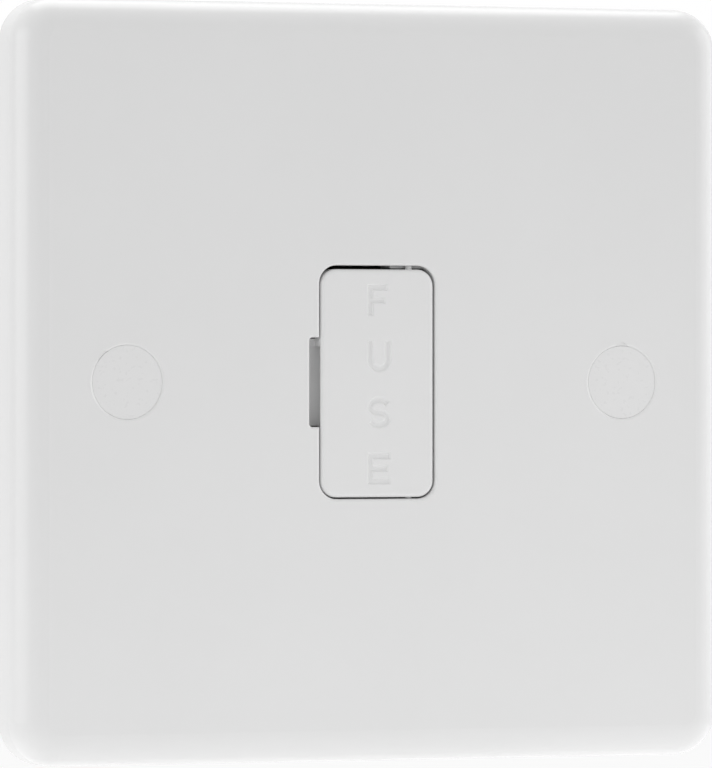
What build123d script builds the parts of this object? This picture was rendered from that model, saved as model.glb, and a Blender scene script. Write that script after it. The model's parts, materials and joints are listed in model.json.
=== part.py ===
from build123d import *
import os

# Unswitched fused spur unit for a single flush box.
# Frame: X to the right seen from the room, Y into the wall, Z up, in millimetres.
# The origin is the middle of the plane where the plate's rim meets the wall.

# Front plate
plate_size = 86.0
plate_depth = 7.0
plate_corner_r = 5.0
plate_edge_r = 3.6
plate_wall = 2.6
rim_wall = 2.6

# Fixing screw holes and the caps that cover them
fixing_pitch = 60.3
fixing_hole_r = 2.2
fixing_floor = 2.2
fixing_boss_r = 6.25
cap_r = 4.15
cap_gap = 0.025
cap_sink = 0.09
cap_end_gap = 0.1
cap_face = 1.4
cap_skirt_wall = 0.55
cap_slit = 0.8
cap_edge_r = 0.012
cap_dish_w = 0.25
cap_notch_r = 0.85
cap_notch_out = 0.4
cap_notch_depth = 0.14
cap_notch_turns = (135, 90)

# Aperture for the fuse carrier, with the slot for a screwdriver on its left
aperture_w = 14.07
aperture_r = 2.1
aperture_edge_r = 0.4
slot_w = 1.2
slot_h = 10.1
slot_corner_r = 0.4

# Fuse carrier
carrier_gap_left = 0.14
carrier_gap_right = 0.2
carrier_gap_ends = 0.295
carrier_drop = 0.125
carrier_face = 2.0
carrier_corner_r = 1.9
carrier_edge_r = 0.5
pivot_in = 2.9
pivot_depth = 1.1
trunnion_r = 0.4
trunnion_length = 1.3
trunnion_gap = 0.1
pry_lip = 0.4
pry_depth = 0.95
pry_above = 1.0
pry_sink = 0.3
pry_tab = 1.0
pry_tab_in = 1.0
pry_tab_gap = 0.3
pry_tab_end_gap = 0.12
saddle_wall = 0.9
saddle_low = 0.4
saddle_grip = 1.5
saddle_grip_gap = 0.65
saddle_end_gap = 0.1

# Cartridge fuse
fuse_length = 25.4
fuse_cap_r = 3.15
fuse_cap_length = 5.5
fuse_cap_wall = 0.18
fuse_cap_end = 0.35
fuse_barrel_wall = 0.85
fuse_element_r = 0.15
fuse_gap = 0.05
fuse_x = -1.6
fuse_end_room = 0.51

# Hinge bosses behind the plate, above and below the aperture
hinge_boss_left = 2.1
hinge_boss_right = 2.85
hinge_boss_depth = 1.8
hinge_boss_top = 3.75
hinge_ledge_depth = 1.5
hinge_ledge_gap = 0.14

# Terminals, in two rows of three
terminal_pitch = 16.5
block_w = 8.0
block_h = 8.7
block_depth = 7.5
block_end_z = 25.0
block_gap = 0.15
block_chamfer = 0.3
wire_bore_r = 2.2
wire_bore_depth = 3.1
wire_entry_r = 2.7
spigot_r = 1.5
spigot_stand = 0.2
terminal_screw_r = 1.75
terminal_screw_length = 5.0
terminal_screw_tip = 0.4
terminal_head_r = 2.6
terminal_head_h = 1.8
driver_slot_w = 0.8
driver_slot_depth = 0.9
screw_gap = 0.05

# Brass strips
strip = 0.6
strip_w = 5.0
strip_end = 2.25
strip_y = 4.2
clip_gap = 0.1
clip_back_gap = 0.25
clip_jaw_h = 2.6
clip_in = 0.4
clip_tongue_h = 2.4
clip_inner_reach = 0.6
clip_inner_flare = 0.25
clip_outer_straight = 1.5
clip_outer_reach = 3.0
clip_outer_flare = 0.5
earth_set_back = 2.3
earth_joggle = 1.3
earth_joggle_in = 0.4
earth_notch_gap = 0.3

# Rear housing and the insulator behind the fuse
housing_back = 18.0
housing_wall = 1.8
housing_floor = 2.0
housing_corner_r = 3.0
housing_back_edge_r = 1.0
chamber_rib = 1.2
tunnel_r = 3.0
tunnel_wall = 1.0
insulator = 0.8
insulator_gap = 0.1
insulator_end_gap = 0.65
insulator_over = 0.4
shroud_x = 9.2
shroud_wall = 1.2
shroud_end_gap = 0.7
shroud_strip_gap = 0.3
ledge_end_gap = 1.3
post_w = 3.0
post_gap = 0.1

# Screws that hold the housing to the plate
assembly_screw_r = 1.4
assembly_head_r = 2.5
assembly_head_h = 1.7
assembly_post_r = 2.6
assembly_hole_gap = 0.2
assembly_split_y = 6.0
assembly_engaged = 5.5
assembly_tip_gap = 1.0

# Depths along Y
front_y = -plate_depth
inner_y = front_y + plate_wall
carrier_back_y = front_y + carrier_face
pivot_y = front_y + pivot_depth
fuse_barrel_r = fuse_cap_r - fuse_cap_wall - fuse_gap / 2
saddle_r = fuse_barrel_r + fuse_gap
fuse_y = carrier_back_y + saddle_low / 2 + fuse_cap_r
strip_front = strip_y - strip / 2
strip_back = strip_y + strip / 2
block_front = strip_back
block_back = block_front + block_depth
wire_y = block_front + wire_bore_depth
spigot_tip = strip_front - spigot_stand
housing_floor_y = housing_back - housing_floor
insulator_front = strip_back + insulator_gap
insulator_back = insulator_front + insulator
shroud_back = strip_front - shroud_strip_gap

# Places across the front
carrier_left = carrier_gap_left - aperture_w / 2
carrier_right = aperture_w / 2 - carrier_gap_right
carrier_w = carrier_right - carrier_left
carrier_x = (carrier_left + carrier_right) / 2
aperture_h = fuse_length + 2 * fuse_end_room
carrier_h = aperture_h - 2 * carrier_gap_ends
pivot_x = aperture_w / 2 - pivot_in
block_z = block_end_z - block_h / 2
block_inner_z = block_end_z - block_h
assembly_x = terminal_pitch / 2
housing_w = 2 * (terminal_pitch + block_w / 2 + block_gap + housing_wall)
housing_h = 2 * (block_end_z + block_gap + housing_wall)
fuse_cap_inner_z = fuse_length / 2 - fuse_cap_length
clip_jaw_z = fuse_cap_inner_z + clip_in
tongue_z = clip_jaw_z + clip_jaw_h
collar_in = block_inner_z - block_gap - chamber_rib
collar_out = block_end_z + block_gap
insulator_h = 2 * (collar_in - insulator_end_gap)
ledge_h = insulator_h - 2 * ledge_end_gap
shroud_h = 2 * (tongue_z - shroud_end_gap)
saddle_grip_h = slot_h - 2 * saddle_grip_gap
cap_xs = (-fixing_pitch / 2, fixing_pitch / 2)
cap_seat_r = cap_r + cap_gap
cap_seat_depth = plate_depth - fixing_floor
terminal_places = GridLocations(terminal_pitch, 2 * block_z, 3, 2)
assembly_places = GridLocations(2 * assembly_x, 2 * block_z, 2, 2)


def facing(y):
    """The plane parallel to the wall at depth y: sketches lie in X and Z, and extrude towards the room."""
    return Plane.XZ.offset(-y)


def level(z):
    """The horizontal plane at height z: sketches lie in X and Y, and extrude upwards."""
    return Plane.XY.offset(z)


# Front plate: a moulded tray, open at the wall, with its bosses and ribs behind
with BuildPart() as front_plate:
    with BuildSketch(facing(0)):
        RectangleRounded(plate_size, plate_size, plate_corner_r)
    extrude(amount=plate_depth)
    fillet(front_plate.faces().sort_by(Axis.Y)[0].edges(), plate_edge_r)
    with BuildSketch(facing(0)):
        hollow = plate_size - 2 * rim_wall
        RectangleRounded(hollow, hollow, max(plate_corner_r - rim_wall, rim_wall / 4))
    extrude(amount=-inner_y, mode=Mode.SUBTRACT)

    # Bosses round the fixing holes, flush with the wall plane
    with BuildSketch(facing(0)):
        with GridLocations(fixing_pitch, 0, 2, 1):
            Circle(fixing_boss_r)
    extrude(amount=-inner_y)

    # Wall round the fuse compartment, short of the strips, with sides that reach the insulator between them
    with BuildSketch(facing(shroud_back)):
        Rectangle(2 * shroud_x + shroud_wall, aperture_h + 2 * shroud_wall)
        Rectangle(2 * shroud_x - shroud_wall, aperture_h, mode=Mode.SUBTRACT)
    extrude(amount=shroud_back - inner_y)
    with BuildSketch(facing(insulator_front - insulator_gap)):
        with GridLocations(2 * shroud_x, 0, 2, 1):
            Rectangle(shroud_wall, shroud_h)
    extrude(amount=insulator_front - insulator_gap - inner_y)

    # Posts that hold the terminals down
    with BuildSketch(facing(spigot_tip - post_gap)):
        with terminal_places:
            Rectangle(post_w, post_w)
    extrude(amount=spigot_tip - post_gap - inner_y)

    # Pillars for the assembly screws
    with BuildSketch(facing(assembly_split_y)):
        with assembly_places:
            Circle(assembly_post_r)
    extrude(amount=assembly_split_y - inner_y)
    with BuildSketch(facing(assembly_split_y)):
        with assembly_places:
            Circle(assembly_screw_r + screw_gap)
    extrude(amount=assembly_engaged + assembly_tip_gap, mode=Mode.SUBTRACT)

    # Aperture and the screwdriver slot beside it, with a softened edge round both
    with BuildSketch(facing(inner_y)):
        RectangleRounded(aperture_w, aperture_h, aperture_r)
        with Locations((-aperture_w / 2, 0)):
            RectangleRounded(2 * slot_w, slot_h, slot_corner_r)
    extrude(amount=plate_wall, mode=Mode.SUBTRACT)
    aperture_edge = front_plate.faces().sort_by(Axis.Y)[0].inner_wires()[0].edges()
    fillet(aperture_edge, aperture_edge_r)

    # Hinge bosses, each with a ledge in the gap past the end of the carrier
    for side in (1, -1):
        boss_in = side * (carrier_h / 2 + hinge_ledge_gap) - carrier_drop
        boss_out = side * (aperture_h / 2 + hinge_boss_top)
        with BuildSketch(facing(inner_y + hinge_boss_depth)):
            with Locations((pivot_x + (hinge_boss_right - hinge_boss_left) / 2, (boss_in + boss_out) / 2)):
                Rectangle(hinge_boss_left + hinge_boss_right, abs(boss_out - boss_in))
        extrude(amount=plate_wall + hinge_boss_depth - hinge_ledge_depth)

    # Sockets for the carrier's trunnions, open to the aperture
    for side in (1, -1):
        with BuildSketch(level(side * carrier_h / 2)):
            with Locations((pivot_x, pivot_y)):
                Circle(trunnion_r + trunnion_gap)
        socket_depth = carrier_gap_ends + carrier_drop + trunnion_length + trunnion_gap
        extrude(amount=side * socket_depth, mode=Mode.SUBTRACT)

    # Fixing holes, with a seat for the screw's head and the cap, a dished rim that meets the cap's face
    # and a notch to lever the cap out
    with Locations(facing(front_y)):
        with GridLocations(fixing_pitch, 0, 2, 1):
            CounterBoreHole(fixing_hole_r, cap_seat_r, cap_seat_depth, plate_depth)
    front_face = front_plate.faces().sort_by(Axis.Y)[0]
    seat_edges = [wire.edge() for wire in front_face.inner_wires() if len(wire.edges()) == 1]
    chamfer(seat_edges, cap_dish_w, cap_sink, reference=front_face)
    for x, turn in zip(cap_xs, cap_notch_turns):
        with BuildSketch(facing(front_y + cap_notch_depth)):
            with Locations((x, 0)):
                with PolarLocations(cap_seat_r + cap_notch_out - cap_notch_r, 1, turn):
                    Circle(cap_notch_r)
        extrude(amount=cap_notch_depth, mode=Mode.SUBTRACT)
front_plate.part.label = "front_plate"


# Screw caps: a disc just below the plate's face on a split skirt
cap_height = cap_seat_depth - cap_sink - cap_end_gap


def screw_cap(name, x):
    with BuildPart() as cap:
        with BuildSketch(facing(front_y + cap_seat_depth - cap_end_gap)):
            with Locations((x, 0)):
                Circle(cap_r)
        extrude(amount=cap_height)
        fillet(cap.faces().sort_by(Axis.Y)[0].edges(), cap_edge_r)
        with BuildSketch(facing(front_y + cap_seat_depth - cap_end_gap)):
            with Locations((x, 0)):
                Circle(cap_r - cap_skirt_wall)
                Rectangle(2 * cap_r, cap_slit)
                Rectangle(cap_slit, 2 * cap_r)
        extrude(amount=cap_height - cap_face, mode=Mode.SUBTRACT)
    cap.part.label = name
    return cap.part


screw_caps = [screw_cap(name, x) for name, x in zip(("screw_cap_left", "screw_cap_right"), cap_xs)]


# Fuse carrier: the hinged face, its trunnions and the saddle that grips the fuse
saddle_outer = fuse_barrel_r + saddle_wall
saddle_h = 2 * (fuse_cap_inner_z - saddle_end_gap)
with BuildPart() as fuse_carrier:
    with BuildSketch(facing(carrier_back_y)):
        with Locations((carrier_x, -carrier_drop)):
            RectangleRounded(carrier_w, carrier_h, carrier_corner_r)
    extrude(amount=carrier_face)
    fillet(fuse_carrier.faces().sort_by(Axis.Y)[0].edges(), carrier_edge_r)

    # Tab behind the slot, which the screwdriver levers on
    tab_left = pry_tab_gap - aperture_w / 2 - slot_w
    pry_right = carrier_left + pry_depth
    tab_right = pry_right + pry_tab_in
    with BuildSketch(facing(carrier_back_y + pry_tab)):
        with Locations(((tab_left + tab_right) / 2, 0)):
            RectangleRounded(tab_right - tab_left, slot_h - 2 * pry_tab_end_gap, slot_corner_r)
    extrude(amount=pry_tab)

    # Recess under the left edge for the screwdriver's tip, sunk into the tab
    pry_top = slot_h / 2 - pry_above
    with BuildSketch(facing(carrier_back_y + pry_sink)):
        with Locations(((tab_left + pry_right) / 2, (pry_top - slot_h / 2) / 2)):
            Rectangle(pry_right - tab_left, pry_top + slot_h / 2)
    extrude(amount=carrier_face + pry_sink - pry_lip, mode=Mode.SUBTRACT)

    # Low saddle between the fuse's caps, and the higher arms that snap over its barrel
    for height, back_y in ((saddle_h, fuse_y - saddle_low), (saddle_grip_h, fuse_y + saddle_grip)):
        with BuildSketch(facing(back_y)):
            with Locations((fuse_x, -carrier_drop)):
                Rectangle(2 * saddle_outer, height)
        extrude(amount=back_y - carrier_back_y)
    with BuildSketch(level(-carrier_drop)):
        with Locations((fuse_x, fuse_y)):
            Circle(saddle_r)
    extrude(amount=saddle_h / 2, both=True, mode=Mode.SUBTRACT)

    # Trunnions at both ends
    for side in (1, -1):
        with BuildSketch(level(side * carrier_h / 2 - carrier_drop)):
            with Locations((pivot_x, pivot_y)):
                Circle(trunnion_r)
        extrude(amount=side * (trunnion_length + carrier_gap_ends))
fuse_carrier.part.label = "fuse_carrier"


# Cartridge fuse: ceramic barrel, two plated caps and the element between them
element_half = fuse_length / 2 - fuse_cap_end
barrel_half = element_half - fuse_gap
with BuildPart() as fuse_barrel:
    with BuildSketch(level(-carrier_drop)):
        with Locations((fuse_x, fuse_y)):
            Circle(fuse_barrel_r)
            Circle(fuse_barrel_r - fuse_barrel_wall, mode=Mode.SUBTRACT)
    extrude(amount=barrel_half, both=True)
fuse_barrel.part.label = "fuse_barrel"

with BuildPart() as fuse_element:
    with BuildSketch(level(-carrier_drop)):
        with Locations((fuse_x, fuse_y)):
            Circle(fuse_element_r)
    extrude(amount=element_half, both=True)
fuse_element.part.label = "fuse_element"


def fuse_cap(name, side):
    with BuildPart() as cap:
        with BuildSketch(level(side * fuse_length / 2 - carrier_drop)):
            with Locations((fuse_x, fuse_y)):
                Circle(fuse_cap_r)
        extrude(amount=-side * fuse_cap_length)
        end_face = cap.faces().sort_by(Axis.Z)[-1 if side > 0 else 0]
        fillet(end_face.edges(), fuse_cap_end)
        with BuildSketch(level(side * element_half - carrier_drop)):
            with Locations((fuse_x, fuse_y)):
                Circle(fuse_barrel_r + fuse_gap / 2)
        extrude(amount=-side * fuse_cap_length, mode=Mode.SUBTRACT)
    cap.part.label = name
    return cap.part


fuse_caps = [fuse_cap("fuse_cap_upper", 1), fuse_cap("fuse_cap_lower", -1)]


# Line contacts: a spring clip for the fuse, folded from the strip that runs to the terminal.
# The clip opens along the path on which the fuse swings out round the carrier's trunnions.
clip_plane = Plane(
    (fuse_x, fuse_y, 0),
    x_dir=(pivot_y - fuse_y, fuse_x - pivot_x, 0),
    z_dir=(0, 0, 1),
)
jaw_mid = fuse_cap_r + clip_gap + strip / 2
base_mid = -(fuse_cap_r + clip_back_gap + strip / 2)
tail_z = block_z + strip_end
tongue_start = clip_plane.from_local_coords(Vector(base_mid, jaw_mid, 0))
tongue_run = (strip_y - tongue_start.Y) / (fuse_y - pivot_y)
tongue_bend = tongue_start.X + tongue_run * (fuse_x - pivot_x)

with BuildPart() as line_supply_contact:
    with BuildSketch(clip_plane.offset(clip_jaw_z)):
        with BuildLine():
            Polyline(
                (clip_inner_reach, jaw_mid + clip_inner_flare),
                (0, jaw_mid),
                (base_mid, jaw_mid),
                (base_mid, -jaw_mid),
                (clip_outer_straight, -jaw_mid),
                (clip_outer_reach, -jaw_mid - clip_outer_flare),
            )
            offset(amount=strip / 2, side=Side.BOTH)
        make_face()
    extrude(amount=clip_jaw_h)
    with BuildSketch(level(tongue_z)):
        with BuildLine():
            Polyline(
                (tongue_start.X, tongue_start.Y),
                (tongue_bend, strip_y),
                (-terminal_pitch, strip_y),
            )
            offset(amount=strip / 2, side=Side.BOTH)
        make_face()
    extrude(amount=clip_tongue_h)
    with BuildSketch(facing(strip_back)):
        with Locations((-terminal_pitch, (tongue_z + tail_z) / 2)):
            Rectangle(strip_w, tail_z - tongue_z)
        with Locations((-terminal_pitch, block_z)):
            Circle(spigot_r + screw_gap, mode=Mode.SUBTRACT)
    extrude(amount=strip)
line_supply_contact.part.label = "line_supply_contact"

line_load_contact = mirror(line_supply_contact.part, about=Plane.XY)
line_load_contact.label = "line_load_contact"


# Neutral link: a flat bar between the two terminals on the right
with BuildPart() as neutral_link:
    with BuildSketch(facing(strip_back)):
        with Locations((terminal_pitch, 0)):
            Rectangle(strip_w, 2 * tail_z)
            with GridLocations(0, 2 * block_z, 1, 2):
                Circle(spigot_r + screw_gap, mode=Mode.SUBTRACT)
    extrude(amount=strip)
neutral_link.part.label = "neutral_link"


# Earth link: a bar between the middle terminals, set back to pass behind the insulator
earth_y = strip_y + earth_set_back
joggle_out = block_inner_z - earth_joggle_in
joggle_in = joggle_out - earth_joggle
with BuildPart() as earth_link:
    with BuildSketch(Plane.YZ):
        with BuildLine():
            Polyline(
                (strip_y, tail_z),
                (strip_y, joggle_out),
                (earth_y, joggle_in),
                (earth_y, -joggle_in),
                (strip_y, -joggle_out),
                (strip_y, -tail_z),
            )
            offset(amount=strip / 2, side=Side.BOTH)
        make_face()
    extrude(amount=strip_w / 2, both=True)
    with BuildSketch(facing(earth_y)):
        with GridLocations(0, 2 * block_z, 1, 2):
            Circle(spigot_r + screw_gap)
    extrude(amount=2 * earth_set_back, mode=Mode.SUBTRACT)
earth_link.part.label = "earth_link"


# Terminals: brass blocks with a bore for the wires and a clamping screw from behind
def terminal(name, x, side):
    with BuildPart() as block:
        with BuildSketch(facing(block_back)):
            with Locations((x, side * block_z)):
                Rectangle(block_w, block_h)
        extrude(amount=block_depth)
        chamfer(block.edges().filter_by(Axis.Y), block_chamfer)
        with BuildSketch(facing(block_front)):
            with Locations((x, side * block_z)):
                Circle(spigot_r)
        extrude(amount=block_front - spigot_tip)
        with BuildSketch(level(side * block_end_z)):
            with Locations((x, wire_y)):
                Circle(wire_bore_r)
        extrude(amount=-side * block_h, mode=Mode.SUBTRACT)
        with BuildSketch(facing(block_back)):
            with Locations((x, side * block_z)):
                Circle(terminal_screw_r + screw_gap)
        extrude(amount=block_back - wire_y, mode=Mode.SUBTRACT)
    block.part.label = name
    return block.part


terminals = [
    terminal("line_supply_terminal", -terminal_pitch, 1),
    terminal("earth_supply_terminal", 0, 1),
    terminal("neutral_supply_terminal", terminal_pitch, 1),
    terminal("line_load_terminal", -terminal_pitch, -1),
    terminal("earth_load_terminal", 0, -1),
    terminal("neutral_load_terminal", terminal_pitch, -1),
]

# Terminal screws, backed out clear of the wire bores as delivered
terminal_tip_y = wire_y + wire_bore_r + terminal_screw_tip
terminal_head_y = terminal_tip_y + terminal_screw_length
with BuildPart() as terminal_screws:
    with BuildSketch(facing(terminal_head_y)):
        with terminal_places:
            Circle(terminal_screw_r)
    extrude(amount=terminal_screw_length)
    with BuildSketch(facing(terminal_head_y + terminal_head_h)):
        with terminal_places:
            Circle(terminal_head_r)
    extrude(amount=terminal_head_h)
    with BuildSketch(facing(terminal_head_y + terminal_head_h)):
        with terminal_places:
            Rectangle(2 * terminal_head_r, driver_slot_w)
    extrude(amount=driver_slot_depth, mode=Mode.SUBTRACT)
terminal_screws.part.label = "terminal_screws"


# Insulator between the line clips and the earth link
with BuildPart() as insulator_plate:
    with BuildSketch(facing(insulator_back)):
        Rectangle(2 * shroud_x + shroud_wall + 2 * insulator_over, insulator_h)
    extrude(amount=insulator)
insulator_plate.part.label = "insulator_plate"


# Rear housing: a tray with a chamber for each terminal
assembly_seat_y = housing_back - assembly_head_h
with BuildPart() as rear_housing:
    with BuildSketch(facing(housing_back)):
        RectangleRounded(housing_w, housing_h, housing_corner_r)
    extrude(amount=housing_back - inner_y)
    fillet(rear_housing.faces().sort_by(Axis.Y)[-1].edges(), housing_back_edge_r)
    with BuildSketch(facing(housing_floor_y)):
        RectangleRounded(
            housing_w - 2 * housing_wall,
            housing_h - 2 * housing_wall,
            max(housing_corner_r - housing_wall, housing_wall / 4),
        )
    extrude(amount=housing_floor_y - inner_y, mode=Mode.SUBTRACT)

    # Chamber ribs round the blocks
    with BuildSketch(facing(housing_floor_y)):
        with GridLocations(terminal_pitch, collar_in + collar_out, 3, 2):
            Rectangle(block_w + 2 * (block_gap + chamber_rib), collar_out - collar_in)
    extrude(amount=housing_floor_y - block_front)
    with BuildSketch(facing(housing_floor_y)):
        with terminal_places:
            Rectangle(block_w + 2 * block_gap, block_h + 2 * block_gap)
    extrude(amount=housing_floor_y - block_front, mode=Mode.SUBTRACT)

    # Notches that let the earth link pass
    earth_back = earth_y + strip / 2 + earth_notch_gap
    with BuildSketch(facing(earth_back)):
        with GridLocations(0, 2 * collar_in + chamber_rib, 1, 2):
            Rectangle(strip_w + 2 * earth_notch_gap, chamber_rib)
    extrude(amount=earth_back - block_front, mode=Mode.SUBTRACT)

    # Tunnels to the terminal screws: the blocks seat on their ends
    with BuildSketch(facing(housing_floor_y)):
        with terminal_places:
            Circle(tunnel_r + tunnel_wall)
    extrude(amount=housing_floor_y - block_back)
    with BuildSketch(facing(housing_back)):
        with terminal_places:
            Circle(tunnel_r)
    extrude(amount=housing_back - block_back, mode=Mode.SUBTRACT)

    # Ledges under the insulator
    with BuildSketch(facing(housing_floor_y)):
        with GridLocations(2 * shroud_x, 0, 2, 1):
            Rectangle(shroud_wall, ledge_h)
    extrude(amount=housing_floor_y - insulator_back)

    # Posts and holes for the assembly screws
    with BuildSketch(facing(housing_floor_y)):
        with assembly_places:
            Circle(assembly_post_r)
    extrude(amount=housing_floor_y - assembly_split_y)
    with BuildSketch(facing(housing_back)):
        with assembly_places:
            Circle(assembly_screw_r + assembly_hole_gap)
    extrude(amount=housing_back - assembly_split_y, mode=Mode.SUBTRACT)
    with BuildSketch(facing(housing_back)):
        with assembly_places:
            Circle(assembly_head_r + assembly_hole_gap)
    extrude(amount=assembly_head_h, mode=Mode.SUBTRACT)

    # Wire entries in line with the terminals' bores
    for side in (1, -1):
        with BuildSketch(level(side * housing_h / 2)):
            with Locations((0, wire_y)):
                with GridLocations(terminal_pitch, 0, 3, 1):
                    Circle(wire_entry_r)
        extrude(amount=-side * housing_wall, mode=Mode.SUBTRACT)
rear_housing.part.label = "rear_housing"


# Assembly screws, driven from behind
with BuildPart() as assembly_screws:
    with BuildSketch(facing(assembly_seat_y)):
        with assembly_places:
            Circle(assembly_screw_r)
    extrude(amount=assembly_seat_y - assembly_split_y + assembly_engaged)
    with BuildSketch(facing(housing_back)):
        with assembly_places:
            Circle(assembly_head_r)
    extrude(amount=assembly_head_h)
    with BuildSketch(facing(housing_back)):
        with assembly_places:
            Rectangle(2 * assembly_head_r, driver_slot_w)
    extrude(amount=driver_slot_depth, mode=Mode.SUBTRACT)
assembly_screws.part.label = "assembly_screws"


pieces = [
    front_plate.part,
    *screw_caps,
    fuse_carrier.part,
    fuse_barrel.part,
    fuse_element.part,
    *fuse_caps,
    line_supply_contact.part,
    line_load_contact,
    neutral_link.part,
    earth_link.part,
    *terminals,
    terminal_screws.part,
    insulator_plate.part,
    rear_housing.part,
    assembly_screws.part,
]
os.makedirs("parts", exist_ok=True)
for piece in pieces:
    export_step(piece, f"parts/{piece.label}.step")
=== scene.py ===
import json
import math

import bmesh
import bpy
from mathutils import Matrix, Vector


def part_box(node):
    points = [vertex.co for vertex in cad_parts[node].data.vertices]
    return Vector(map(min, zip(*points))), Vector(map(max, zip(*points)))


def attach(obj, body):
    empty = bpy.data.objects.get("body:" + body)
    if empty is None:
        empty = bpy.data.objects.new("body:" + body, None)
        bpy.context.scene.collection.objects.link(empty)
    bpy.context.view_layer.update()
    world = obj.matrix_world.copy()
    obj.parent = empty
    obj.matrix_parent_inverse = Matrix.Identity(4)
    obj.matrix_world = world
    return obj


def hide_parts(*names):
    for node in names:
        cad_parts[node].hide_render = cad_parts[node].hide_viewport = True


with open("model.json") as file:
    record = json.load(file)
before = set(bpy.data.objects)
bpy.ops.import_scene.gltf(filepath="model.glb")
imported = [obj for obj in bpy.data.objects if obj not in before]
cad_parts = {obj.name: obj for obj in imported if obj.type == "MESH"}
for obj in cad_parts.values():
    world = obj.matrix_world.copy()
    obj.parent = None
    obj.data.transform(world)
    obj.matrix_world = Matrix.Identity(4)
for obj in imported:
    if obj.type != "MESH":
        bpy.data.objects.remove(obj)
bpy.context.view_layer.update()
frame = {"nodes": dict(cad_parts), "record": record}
nodes = frame["nodes"]
MM = 0.001
WHITE = (1, 1, 1, 1)

# Places on the part that the looks depend on
FLOOR_DROP = 25 * MM
plate_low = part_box("front_plate")[0]
front_y = plate_low.y
floor_z = plate_low.z - FLOOR_DROP

# The photograph's camera: a long lens, level with the plate's middle and to the left of it
IMAGE_HEIGHT = 768
IMAGE_CENTRE = (356.0, 384.0)
PLATE_CENTRE = (378.0, 382.2)
FOCAL_PX = 7664.0
VIEW_DISTANCE = 868 * MM
VIEW_LEFT = math.radians(21.8)
SENSOR = 36.0
CLIP_NEAR = 0.01
CLIP_FAR = 100


def link_object(name, data):
    """A new object with this data, in the scene."""
    item = bpy.data.objects.new(name, data)
    bpy.context.scene.collection.objects.link(item)
    return item


def make_camera():
    data = bpy.data.cameras.new("camera")
    data.sensor_fit = "VERTICAL"
    data.sensor_width = SENSOR
    data.sensor_height = SENSOR
    data.lens = FOCAL_PX / IMAGE_HEIGHT * SENSOR
    data.clip_start = CLIP_NEAR
    data.clip_end = CLIP_FAR
    camera = link_object("camera", data)
    centre = Vector((0, front_y, 0))
    forward = Vector((math.sin(VIEW_LEFT), math.cos(VIEW_LEFT), 0))
    right = Vector((math.cos(VIEW_LEFT), -math.sin(VIEW_LEFT), 0))
    camera.location = centre - forward * VIEW_DISTANCE
    per_px = VIEW_DISTANCE / FOCAL_PX
    aim = centre - right * (PLATE_CENTRE[0] - IMAGE_CENTRE[0]) * per_px
    aim.z += (PLATE_CENTRE[1] - IMAGE_CENTRE[1]) * per_px
    camera.rotation_euler = (aim - camera.location).to_track_quat("-Z", "Y").to_euler()
    bpy.context.scene.camera = camera


# Nodes that the materials are made of
NOISE_ROUGHNESS = 0.55
# Most of a noise texture's values lie between these
NOISE_LOW = 0.3
NOISE_HIGH = 0.7
# The sockets that a Mix node uses for colours
MIX_DARK = 6
MIX_LIGHT = 7
MIX_RESULT = 2


def new_material(name):
    """A new material, its node tree and its Principled shader."""
    material = bpy.data.materials.new(name)
    material.use_nodes = True
    tree = material.node_tree
    shader = tree.nodes["Principled BSDF"]
    return material, tree, shader


def add(tree, kind, **values):
    """Adds a node and sets its inputs by name, or its properties where no input has that name."""
    node = tree.nodes.new(kind)
    for key, value in values.items():
        name = key.replace("_", " ").title()
        if name in node.inputs:
            node.inputs[name].default_value = value
        else:
            setattr(node, key, value)
    return node


def noise(tree, wavelength, detail, stretch=(1, 1, 1)):
    """A noise value in the piece's own frame, with features about a wavelength across."""
    place = tree.nodes.new("ShaderNodeTexCoord")
    mapping = tree.nodes.new("ShaderNodeMapping")
    mapping.inputs["Scale"].default_value = [s / wavelength for s in stretch]
    texture = add(tree, "ShaderNodeTexNoise", scale=1.0, detail=detail, roughness=NOISE_ROUGHNESS)
    tree.links.new(place.outputs["Object"], mapping.inputs["Vector"])
    tree.links.new(mapping.outputs["Vector"], texture.inputs["Vector"])
    return texture.outputs["Fac"]


def ramp(tree, value, low, high):
    """Spreads a noise value over low to high."""
    node = add(tree, "ShaderNodeMapRange", clamp=True)
    node.inputs["From Min"].default_value = NOISE_LOW
    node.inputs["From Max"].default_value = NOISE_HIGH
    node.inputs["To Min"].default_value = low
    node.inputs["To Max"].default_value = high
    tree.links.new(value, node.inputs["Value"])
    return node.outputs["Result"]


def tint(tree, value, dark, light):
    """Mixes two colours by a noise value."""
    node = add(tree, "ShaderNodeMix", data_type="RGBA")
    node.inputs[MIX_DARK].default_value = (*dark, 1)
    node.inputs[MIX_LIGHT].default_value = (*light, 1)
    tree.links.new(ramp(tree, value, 0, 1), node.inputs["Factor"])
    return node.outputs[MIX_RESULT]


def bump(tree, shader, *layers):
    """Stacks bumps: each layer is a height value and its height in metres."""
    normal = None
    for height, distance in layers:
        node = tree.nodes.new("ShaderNodeBump")
        node.inputs["Distance"].default_value = distance
        tree.links.new(height, node.inputs["Height"])
        if normal:
            tree.links.new(normal, node.inputs["Normal"])
        normal = node.outputs["Normal"]
    tree.links.new(normal, shader.inputs["Normal"])


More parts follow.
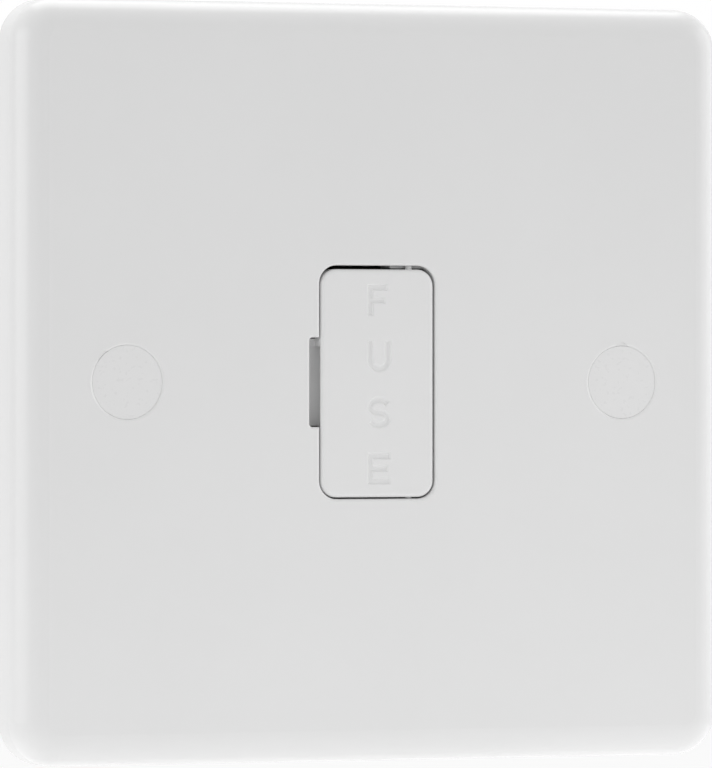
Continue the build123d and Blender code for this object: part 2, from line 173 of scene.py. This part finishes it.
# Materials: the size of each texture's features, the height of its bumps, and its spread of roughness
MOULD_MOTTLE = 22 * MM
MOULD_MOTTLE_SHADE = 0.985
MOULD_SPECK = 0.5 * MM
MOULD_PEEL = 2.2 * MM
MOULD_GRAIN = 0.16 * MM
ROLL_LINE = 0.12 * MM
ROLL_LINE_LENGTH = 6 * MM
ROLL_LINE_HEIGHT = 0.003 * MM
ROLL_SMOOTHER = 0.08
ROLL_ROUGHER = 0.1
TARNISH_CLOUD = 3.5 * MM
PLATING_CLOUD = 2.5 * MM
PLATING_GRAIN = 0.1 * MM
PLATING_GRAIN_HEIGHT = 0.0015 * MM
PLATING_SMOOTHER = 0.05
PLATING_ROUGHER = 0.06
CERAMIC_SPECK = 0.35 * MM
CERAMIC_GRAIN = 0.12 * MM
CERAMIC_GRAIN_HEIGHT = 0.006 * MM
CERAMIC_ROUGHNESS = (0.6, 0.75)
FIBRE_WIDTH = 0.25 * MM
FIBRE_STRETCH = 0.12
FIBRE_SHARE = 0.5
FIBRE_HEIGHT = 0.012 * MM
FIBRE_ROUGHNESS = (0.65, 0.8)


def moulded_plastic(name, colour, roughness, spread, peel, grain):
    """Moulded plastic: faint mottling, and the mould's orange peel and fine grain at these heights."""
    material, tree, shader = new_material(name)
    cloud = noise(tree, MOULD_MOTTLE, 4)
    speck = noise(tree, MOULD_SPECK, 2)
    dark = [c * MOULD_MOTTLE_SHADE for c in colour]
    link = tree.links.new
    link(tint(tree, cloud, dark, colour), shader.inputs["Base Color"])
    link(ramp(tree, speck, roughness - spread, roughness + spread), shader.inputs["Roughness"])
    bump(tree, shader, (noise(tree, MOULD_PEEL, 1), peel), (noise(tree, MOULD_GRAIN, 2), grain))
    return material


def rolled_metal(name, colour, tarnish, roughness):
    """Rolled or drawn metal: fine upright lines and a cloudy tarnish."""
    material, tree, shader = new_material(name)
    lines = noise(tree, ROLL_LINE, 3, (1, 1, ROLL_LINE / ROLL_LINE_LENGTH))
    cloud = noise(tree, TARNISH_CLOUD, 4)
    link = tree.links.new
    link(tint(tree, cloud, tarnish, colour), shader.inputs["Base Color"])
    link(ramp(tree, lines, roughness - ROLL_SMOOTHER, roughness + ROLL_ROUGHER), shader.inputs["Roughness"])
    shader.inputs["Metallic"].default_value = 1.0
    bump(tree, shader, (lines, ROLL_LINE_HEIGHT))
    return material


def plated_metal(name, colour, shade, roughness):
    """Bright plating: near even, with a faint cloud and a satin grain."""
    material, tree, shader = new_material(name)
    cloud = noise(tree, PLATING_CLOUD, 3)
    grain = noise(tree, PLATING_GRAIN, 2)
    link = tree.links.new
    link(tint(tree, cloud, shade, colour), shader.inputs["Base Color"])
    gloss = ramp(tree, cloud, roughness - PLATING_SMOOTHER, roughness + PLATING_ROUGHER)
    link(gloss, shader.inputs["Roughness"])
    shader.inputs["Metallic"].default_value = 1.0
    bump(tree, shader, (grain, PLATING_GRAIN_HEIGHT))
    return material


def fired_ceramic(name, colour, speckle):
    """Unglazed ceramic: matt, with a dry grain and darker specks."""
    material, tree, shader = new_material(name)
    specks = noise(tree, CERAMIC_SPECK, 5)
    link = tree.links.new
    link(tint(tree, specks, speckle, colour), shader.inputs["Base Color"])
    link(ramp(tree, specks, *CERAMIC_ROUGHNESS), shader.inputs["Roughness"])
    bump(tree, shader, (noise(tree, CERAMIC_GRAIN, 3), CERAMIC_GRAIN_HEIGHT))
    return material


def fibre_board(name, colour, fibre):
    """Pressed fibre board: long fibres across and down, and a dull face."""
    material, tree, shader = new_material(name)
    across = noise(tree, FIBRE_WIDTH, 4, (FIBRE_STRETCH, 1, 1))
    down = noise(tree, FIBRE_WIDTH, 4, (1, 1, FIBRE_STRETCH))
    both = add(tree, "ShaderNodeMath", operation="MULTIPLY_ADD")
    both.inputs[1].default_value = FIBRE_SHARE
    half = add(tree, "ShaderNodeMath", operation="MULTIPLY")
    half.inputs[1].default_value = FIBRE_SHARE
    link = tree.links.new
    link(down, half.inputs[0])
    link(across, both.inputs[0])
    link(half.outputs[0], both.inputs[2])
    fibres = both.outputs[0]
    link(tint(tree, fibres, fibre, colour), shader.inputs["Base Color"])
    link(ramp(tree, fibres, *FIBRE_ROUGHNESS), shader.inputs["Roughness"])
    bump(tree, shader, (fibres, FIBRE_HEIGHT))
    return material


def make_materials():
    """The material of each slot in the record."""
    white = (0.80, 0.80, 0.80)
    ivory = (0.74, 0.74, 0.72)
    return {
        "plate_white": moulded_plastic("plate_white", white, 0.26, 0.01, 0.0008 * MM, 0.00005 * MM),
        "cap_white": moulded_plastic("cap_white", white, 0.28, 0.01, 0.0008 * MM, 0.00005 * MM),
        "carrier_white": moulded_plastic("carrier_white", white, 0.36, 0.04, 0.001 * MM, 0.0008 * MM),
        "housing_white": moulded_plastic("housing_white", ivory, 0.5, 0.05, 0.002 * MM, 0.004 * MM),
        "brass_strip": rolled_metal("brass_strip", (0.80, 0.60, 0.29), (0.66, 0.47, 0.21), 0.3),
        "brass_block": rolled_metal("brass_block", (0.78, 0.58, 0.28), (0.64, 0.46, 0.2), 0.26),
        "plated_brass": plated_metal("plated_brass", (0.72, 0.70, 0.66), (0.60, 0.58, 0.54), 0.2),
        "zinc_steel": plated_metal("zinc_steel", (0.68, 0.69, 0.71), (0.55, 0.57, 0.60), 0.28),
        "fuse_ceramic": fired_ceramic("fuse_ceramic", (0.82, 0.79, 0.72), (0.70, 0.66, 0.58)),
        "fuse_wire": plated_metal("fuse_wire", (0.72, 0.70, 0.66), (0.60, 0.56, 0.50), 0.25),
        "insulator_board": fibre_board("insulator_board", (0.10, 0.09, 0.08), (0.05, 0.045, 0.04)),
    }


def dress_nodes(materials):
    """Gives each node of the frame its slot's material."""
    for row in frame["record"]["subparts"]:
        mesh = nodes[row["node"]].data
        mesh.materials.clear()
        mesh.materials.append(materials[row["material_slot"]])


# The legend cut in the carrier's face
LETTER_HEIGHT = 3.4 * MM
LETTER_STROKE = 0.55 * MM
LETTER_PITCH = 6.36 * MM
LETTER_FIRST_Z = 7.6 * MM
LETTER_LEFT_X = -1.17 * MM
LETTER_ARM = 0.88
F_WIDTH = 2.27 * MM
U_WIDTH = 2.7 * MM
S_WIDTH = 2.65 * MM
E_WIDTH = 2.62 * MM
# Where each end of the S stops, in degrees round its bowl from the level of the bowl's middle
S_END = 25
TOP_BAR = LETTER_HEIGHT - LETTER_STROKE
MIDDLE_BAR = TOP_BAR / 2
CURVE_STEPS = 14
# The groove's section, from above the face to its floor: how far the outline grows, and the height
GROOVE = (
    (0.15 * MM, 0.03 * MM),
    (0.15 * MM, 0.0),
    (0.09 * MM, -0.03 * MM),
    (0.03 * MM, -0.09 * MM),
    (-0.03 * MM, -0.16 * MM),
    (-0.1 * MM, -0.21 * MM),
    (-0.16 * MM, -0.22 * MM),
)
WELD_DISTANCE = 0.0005 * MM
SHARP_ANGLE = math.radians(45)
# A face with a part of its normal over this lies square to an axis, and is shaded flat
SQUARE_NORMAL = 0.99999


def barred_letter(bars):
    """The outline of an upright with bars to its right, each a height and a length, from the lowest up."""
    outline = [(0, LETTER_HEIGHT), (0, 0)]
    if bars[0][0] > 0:
        outline.append((LETTER_STROKE, 0))
    for low, length in bars:
        high = low + LETTER_STROKE
        outline += [(LETTER_STROKE, low), (length, low), (length, high), (LETTER_STROKE, high)]
    return [Vector(point) for point in outline]


def letter_f():
    return barred_letter(((MIDDLE_BAR, LETTER_ARM * F_WIDTH), (TOP_BAR, F_WIDTH)))


def letter_e():
    return barred_letter(((0, E_WIDTH), (MIDDLE_BAR, LETTER_ARM * E_WIDTH), (TOP_BAR, E_WIDTH)))


def arc(centre, radius_x, radius_y, start, end):
    """Points along an elliptic arc between two angles in degrees."""
    points = []
    for i in range(CURVE_STEPS + 1):
        angle = math.radians(start + (end - start) * i / CURVE_STEPS)
        offset = Vector((radius_x * math.cos(angle), radius_y * math.sin(angle)))
        points.append(Vector(centre) + offset)
    return points


def stroke(path):
    """The outline of a stroke along a path."""
    sides = [[], []]
    for i, point in enumerate(path):
        run = path[min(i + 1, len(path) - 1)] - path[max(i - 1, 0)]
        across = Vector((run.y, -run.x)).normalized() * LETTER_STROKE / 2
        sides[0].append(point + across)
        sides[1].append(point - across)
    return sides[0] + sides[1][::-1]


def letter_u():
    left = LETTER_STROKE / 2
    radius = (U_WIDTH - LETTER_STROKE) / 2
    bowl = arc((left + radius, left + radius), radius, radius, 180, 360)
    path = [Vector((left, LETTER_HEIGHT)), *bowl, Vector((left + 2 * radius, LETTER_HEIGHT))]
    return stroke(path)


def letter_s():
    half = LETTER_STROKE / 2
    across = (S_WIDTH - LETTER_STROKE) / 2
    up = (LETTER_HEIGHT - LETTER_STROKE) / 4
    upper = arc((half + across, half + 3 * up), across, up, S_END, 270)
    lower = arc((half + across, half + up), across, up, 90, S_END - 180)
    return stroke(upper + lower[1:])


def grown(outline, amount):
    """A closed outline moved outwards, with mitred corners."""
    moved = []
    for i, point in enumerate(outline):
        before = point - outline[i - 1]
        after = outline[(i + 1) % len(outline)] - point
        normal_in = Vector((before.y, -before.x)).normalized()
        normal_out = Vector((after.y, -after.x)).normalized()
        moved.append(point + amount * (normal_in + normal_out) / (1 + normal_in.dot(normal_out)))
    return moved


def add_groove(work, outline, low_z):
    """Adds to a bmesh the solid that cuts one letter's groove."""
    rings = []
    for growth, height in GROOVE:
        points = grown(outline, growth)
        ring = [work.verts.new((LETTER_LEFT_X + p.x, front_y - height, low_z + p.y)) for p in points]
        if rings:
            for i in range(len(ring)):
                work.faces.new((rings[-1][i - 1], rings[-1][i], ring[i], ring[i - 1]))
        rings.append(ring)
    work.faces.new(rings[0])
    work.faces.new(rings[-1][::-1])


def welded_mesh(node, name):
    """A node's surface with its split corners joined again, so that it is closed."""
    source = nodes[node].data
    mesh = bpy.data.meshes.new(name)
    mesh.from_pydata([v.co for v in source.vertices], [], [p.vertices for p in source.polygons])
    work = bmesh.new()
    work.from_mesh(mesh)
    bmesh.ops.remove_doubles(work, verts=work.verts, dist=WELD_DISTANCE)
    work.to_mesh(mesh)
    work.free()
    return mesh


def legend_mesh():
    """The solids that cut the legend's letters, from the top one down."""
    mesh = bpy.data.meshes.new("legend_cutter")
    work = bmesh.new()
    for i, letter in enumerate((letter_f, letter_u, letter_s, letter_e)):
        add_groove(work, letter(), LETTER_FIRST_Z - i * LETTER_PITCH)
    bmesh.ops.recalc_face_normals(work, faces=work.faces)
    work.to_mesh(mesh)
    work.free()
    return mesh


def make_carrier(material):
    """The carrier with its legend, in place of the plain one."""
    name = "lettered_fuse_carrier"
    carrier = link_object(name, welded_mesh("fuse_carrier", name))
    cutter = link_object("legend_cutter", legend_mesh())
    cut = carrier.modifiers.new("legend", "BOOLEAN")
    cut.operation = "DIFFERENCE"
    cut.solver = "EXACT"
    cut.object = cutter
    bpy.context.view_layer.update()
    evaluated = carrier.evaluated_get(bpy.context.evaluated_depsgraph_get())
    finished = bpy.data.meshes.new_from_object(evaluated)
    carrier.modifiers.clear()
    carrier.data = finished
    bpy.data.objects.remove(cutter)
    finished.set_sharp_from_angle(angle=SHARP_ANGLE)
    for polygon in finished.polygons:
        polygon.use_smooth = max(abs(n) for n in polygon.normal) < SQUARE_NORMAL
    finished.materials.clear()
    finished.materials.append(material)
    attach(carrier, "carrier")
    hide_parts("fuse_carrier")


# Stage: the floor ends short of the side panels, which would cut through it
FLOOR_HALF = 1.3
FLOOR_GREY = (0.7, 0.7, 0.7, 1)
FLOOR_ROUGHNESS = 0.9
FLOOR_GLOW = 0.8
AMBIENT = 0.622
CARD_GAP = 2 * MM


def seen_ray(tree):
    """1 for rays that show the background: from the camera, in a reflection or through glass."""
    path = tree.nodes.new("ShaderNodeLightPath")
    total = path.outputs["Is Camera Ray"]
    for name in ("Is Glossy Ray", "Is Transmission Ray"):
        larger = add(tree, "ShaderNodeMath", operation="MAXIMUM")
        tree.links.new(total, larger.inputs[0])
        tree.links.new(path.outputs[name], larger.inputs[1])
        total = larger.outputs[0]
    return total


def make_floor():
    """A pale floor that is near white where it is seen, and still takes the object's shadow."""
    mesh = bpy.data.meshes.new("floor")
    half = FLOOR_HALF
    corners = ((-half, -half), (half, -half), (half, half), (-half, half))
    mesh.from_pydata([(x, y, floor_z) for x, y in corners], [], [(0, 1, 2, 3)])
    floor = link_object("floor", mesh)
    material, tree, shader = new_material("floor_white")
    shader.inputs["Base Color"].default_value = FLOOR_GREY
    shader.inputs["Roughness"].default_value = FLOOR_ROUGHNESS
    glow = add(tree, "ShaderNodeEmission", strength=1.0, color=WHITE)
    share = add(tree, "ShaderNodeMath", operation="MULTIPLY")
    share.inputs[1].default_value = FLOOR_GLOW
    mix = tree.nodes.new("ShaderNodeMixShader")
    link = tree.links.new
    link(seen_ray(tree), share.inputs[0])
    link(share.outputs[0], mix.inputs["Fac"])
    link(shader.outputs[0], mix.inputs[1])
    link(glow.outputs[0], mix.inputs[2])
    link(mix.outputs[0], tree.nodes["Material Output"].inputs["Surface"])
    mesh.materials.append(material)


def make_world():
    """White where it is seen, and a dimmer even light elsewhere."""
    world = bpy.data.worlds.new("world")
    world.use_nodes = True
    tree = world.node_tree
    tree.nodes.clear()
    link = tree.links.new
    soft = add(tree, "ShaderNodeBackground", strength=AMBIENT, color=WHITE)
    white = add(tree, "ShaderNodeBackground", strength=1.0, color=WHITE)
    mix = tree.nodes.new("ShaderNodeMixShader")
    output = tree.nodes.new("ShaderNodeOutputWorld")
    link(seen_ray(tree), mix.inputs["Fac"])
    link(soft.outputs[0], mix.inputs[1])
    link(white.outputs[0], mix.inputs[2])
    link(mix.outputs[0], output.inputs["Surface"])
    bpy.context.scene.world = world


def soft_box(name, place, size, level, target=(0, 0, 0)):
    """A square panel lamp turned to a target. Level is about what it adds on a white face there."""
    data = bpy.data.lights.new(name, "AREA")
    data.shape = "SQUARE"
    data.size = size
    reach = Vector(target) - Vector(place)
    distance = reach.length
    data.energy = level * math.pi * math.pi * distance * distance * (1 + (size / distance) ** 2 / 4)
    lamp = link_object(name, data)
    lamp.location = place
    lamp.rotation_euler = reach.to_track_quat("-Z", "Y").to_euler()
    lamp.visible_camera = False


def make_lamps():
    """Panels above and at both sides, and a low card on the floor that lights the lower face."""
    soft_box("top_panel", (0.1, 0.34, 0.94), 0.8, 0.37)
    soft_box("right_panel", (1.6, -0.4, 0.16), 1.9, 0.42)
    soft_box("left_panel", (-1.6, -0.16, 0.16), 1.44, 0.36)
    soft_box("low_card", (0.03, -0.05, floor_z + CARD_GAP), 0.22, 0.38, (0.03, -0.05, 0))


make_camera()
materials = make_materials()
dress_nodes(materials)
make_carrier(materials["carrier_white"])
make_floor()
make_world()
make_lamps()
bpy.context.scene.view_settings.view_transform = "Standard"
